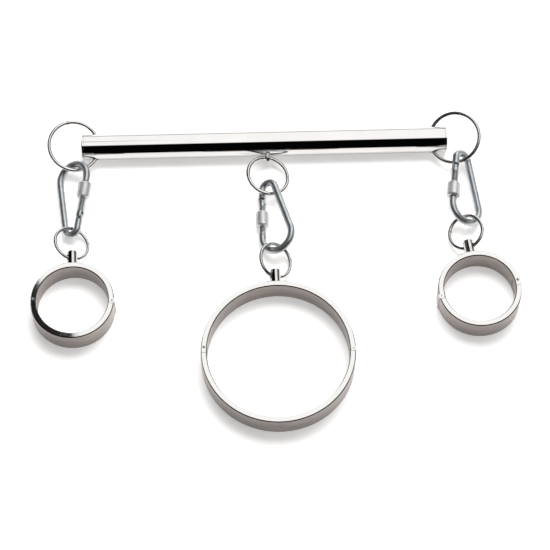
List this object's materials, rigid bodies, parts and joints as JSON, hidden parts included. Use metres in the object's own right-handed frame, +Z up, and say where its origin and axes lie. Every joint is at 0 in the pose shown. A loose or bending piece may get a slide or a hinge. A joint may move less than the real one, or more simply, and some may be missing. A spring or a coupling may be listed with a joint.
{
  "type": "bar restraint set with wrist cuffs and collar",
  "caption": "Polished steel bar with welded rings, screw-lock snap hooks and small rings carrying two hinged wrist cuffs and a hinged neck collar.",
  "frame": {"origin": "centre of the whole set, at the level of the floor that it lies on", "axes": "+X along the bar towards its right end, +Y from the cuffs towards the bar, +Z up from the floor"},
  "size_m": [0.4166, 0.2948, 0.0268],
  "materials": {
    "bar_steel": "mirror polished stainless steel",
    "ring_steel": "polished steel wire",
    "hook_zinc": "satin zinc plated steel",
    "sleeve_zinc": "knurled matt zinc plated steel",
    "band_steel": "polished stainless steel, satin walls",
    "pin_steel": "plain machined steel",
    "spring_steel": "drawn spring steel"
  },
  "bodies": {
    "bar": {"bar_tube": "bar_steel", "bar_cap_left": "bar_steel", "bar_cap_right": "bar_steel", "ring_eye": "bar_steel"},
    "ring_left": {"bar_ring_left": "ring_steel"},
    "hook_body_left": {"hook_left": "hook_zinc", "gate_rivet_left": "pin_steel"},
    "gate_body_left": {"gate_left": "hook_zinc", "gate_plunger_left": "pin_steel", "gate_spring_left": "spring_steel"},
    "sleeve_left": {"screw_sleeve_left": "sleeve_zinc"},
    "link_left": {"small_ring_left": "ring_steel"},
    "band_wrist_left": {"band_far_wrist_left": "band_steel", "lug_wrist_left": "band_steel", "hinge_pin_wrist_left": "pin_steel"},
    "half_wrist_left": {"band_near_wrist_left": "band_steel"},
    "screw_wrist_left": {"lock_screw_wrist_left": "pin_steel"},
    "ring_centre": {"bar_ring_centre": "ring_steel"},
    "hook_body_centre": {"hook_centre": "hook_zinc", "gate_rivet_centre": "pin_steel"},
    "gate_body_centre": {"gate_centre": "hook_zinc", "gate_plunger_centre": "pin_steel", "gate_spring_centre": "spring_steel"},
    "sleeve_centre": {"screw_sleeve_centre": "sleeve_zinc"},
    "link_centre": {"small_ring_centre": "ring_steel"},
    "band_neck": {"band_far_neck": "band_steel", "lug_neck": "band_steel", "hinge_pin_neck": "pin_steel"},
    "half_neck": {"band_near_neck": "band_steel"},
    "screw_neck": {"lock_screw_neck": "pin_steel"},
    "ring_right": {"bar_ring_right": "ring_steel"},
    "hook_body_right": {"hook_right": "hook_zinc", "gate_rivet_right": "pin_steel"},
    "gate_body_right": {"gate_right": "hook_zinc", "gate_plunger_right": "pin_steel", "gate_spring_right": "spring_steel"},
    "sleeve_right": {"screw_sleeve_right": "sleeve_zinc"},
    "link_right": {"small_ring_right": "ring_steel"},
    "band_wrist_right": {"band_far_wrist_right": "band_steel", "lug_wrist_right": "band_steel", "hinge_pin_wrist_right": "pin_steel"},
    "half_wrist_right": {"band_near_wrist_right": "band_steel"},
    "screw_wrist_right": {"lock_screw_wrist_right": "pin_steel"}
  },
  "joints": [
    {"name": "bar_ring_left_swing", "type": "hinge", "parent": "bar", "child": "ring_left", "pos_m": [-0.15834, 0.11759, 0.01142], "axis": [-0.0257, 0.9813, 0.1908], "range_deg": [-140, 140]},
    {"name": "hook_left_swing", "type": "hinge", "parent": "ring_left", "child": "hook_body_left", "pos_m": [-0.17712, 0.09455, 0.01159], "axis": [0.9732, 0.0513, -0.2241], "range_deg": [-60, 110]},
    {"name": "gate_left_open", "type": "hinge", "parent": "hook_body_left", "child": "gate_body_left", "pos_m": [-0.17016, 0.04854, 0.0137], "axis": [-0.5446, -0.0439, 0.8375], "range_deg": [0, 24], "stiffness_Nm_per_rad": 0.08, "springref_deg": -20.05},
    {"name": "sleeve_left_screw", "type": "slide", "parent": "gate_body_left", "child": "sleeve_left", "axis": [0.144, 0.9789, 0.1449], "range_m": [-0.01, 0.0048]},
    {"name": "small_ring_left_swing", "type": "hinge", "parent": "hook_body_left", "child": "link_left", "pos_m": [-0.17712, 0.03867, 0.00866], "axis": [-0.8387, 0.0285, -0.5439], "range_deg": [-12, 7]},
    {"name": "wrist_left_swing", "type": "hinge", "parent": "link_left", "child": "band_wrist_left", "pos_m": [-0.1751, 0.00881, 0.01102], "axis": [0.8955, 0.0469, -0.4426], "range_deg": [-100, 100]},
    {"name": "wrist_left_open", "type": "hinge", "parent": "band_wrist_left", "child": "half_wrist_left", "pos_m": [-0.13909, -0.03616, 0.01102], "axis": [0, 0, 1], "range_deg": [0, 90]},
    {"name": "wrist_left_lock_screw", "type": "slide", "parent": "band_wrist_left", "child": "screw_wrist_left", "axis": [0, 0, -1], "range_m": [0, 0.0055]},
    {"name": "bar_ring_centre_swing", "type": "hinge", "parent": "bar", "child": "ring_centre", "pos_m": [-0.00733, 0.10762, 0.00995], "axis": [0.9613, -0.0096, -0.2755], "range_deg": [-35, 80]},
    {"name": "hook_centre_swing", "type": "hinge", "parent": "ring_centre", "child": "hook_body_centre", "pos_m": [-0.00612, 0.07167, 0.01086], "axis": [0.9589, 0.0601, -0.2772], "range_deg": [-18, 14]},
    {"name": "gate_centre_open", "type": "hinge", "parent": "hook_body_centre", "child": "gate_body_centre", "pos_m": [-0.01225, 0.06497, 0.00698], "axis": [-0.5181, -0.0215, 0.8551], "range_deg": [0, 24], "stiffness_Nm_per_rad": 0.08, "springref_deg": -20.05},
    {"name": "sleeve_centre_screw", "type": "slide", "parent": "gate_body_centre", "child": "sleeve_centre", "axis": [0.0094, -0.9998, -0.0195], "range_m": [-0.003, 0.0118]},
    {"name": "small_ring_centre_swing", "type": "hinge", "parent": "hook_body_centre", "child": "link_centre", "pos_m": [-0.00032, 0.02134, 0.01311], "axis": [-0.841, -0.1696, -0.5138], "range_deg": [-12, 22]},
    {"name": "neck_swing", "type": "hinge", "parent": "link_centre", "child": "band_neck", "pos_m": [-0.00083, -0.00861, 0.01102], "axis": [0.8303, 0.029, -0.5566], "range_deg": [-100, 100]},
    {"name": "neck_open", "type": "hinge", "parent": "band_neck", "child": "half_neck", "pos_m": [0.06491, -0.08016, 0.01102], "axis": [0, 0, 1], "range_deg": [0, 90]},
    {"name": "neck_lock_screw", "type": "slide", "parent": "band_neck", "child": "screw_neck", "axis": [0, 0, -1], "range_m": [0, 0.0055]},
    {"name": "bar_ring_right_swing", "type": "hinge", "parent": "bar", "child": "ring_right", "pos_m": [0.13756, 0.12534, 0.01142], "axis": [0.0252, -0.9609, -0.2756], "range_deg": [-140, 140]},
    {"name": "hook_right_swing", "type": "hinge", "parent": "ring_right", "child": "hook_body_right", "pos_m": [0.16274, 0.10362, 0.01234], "axis": [0.9187, 0.216, 0.3307], "range_deg": [-90, 35]},
    {"name": "gate_right_open", "type": "hinge", "parent": "hook_body_right", "child": "gate_body_right", "pos_m": [0.15626, 0.09442, 0.0171], "axis": [0.5732, 0.02, 0.8192], "range_deg": [0, 24], "stiffness_Nm_per_rad": 0.08, "springref_deg": -20.05},
    {"name": "sleeve_right_screw", "type": "slide", "parent": "gate_body_right", "child": "sleeve_right", "axis": [-0.1062, -0.9895, 0.0985], "range_m": [-0.01, 0.0048]},
    {"name": "small_ring_right_swing", "type": "hinge", "parent": "hook_body_right", "child": "link_right", "pos_m": [0.16464, 0.04921, 0.01234], "axis": [-0.8187, -0.0286, 0.5736], "range_deg": [-10, 20]},
    {"name": "wrist_right_swing", "type": "hinge", "parent": "link_right", "child": "band_wrist_right", "pos_m": [0.16585, 0.01946, 0.01102], "axis": [0.8842, 0.14, 0.4456], "range_deg": [-100, 100]},
    {"name": "wrist_right_open", "type": "hinge", "parent": "band_wrist_right", "child": "half_wrist_right", "pos_m": [0.13998, -0.03202, 0.01102], "axis": [0, 0, -1], "range_deg": [0, 90]},
    {"name": "wrist_right_lock_screw", "type": "slide", "parent": "band_wrist_right", "child": "screw_wrist_right", "axis": [0, 0, -1], "range_m": [0, 0.0055]}
  ]
}
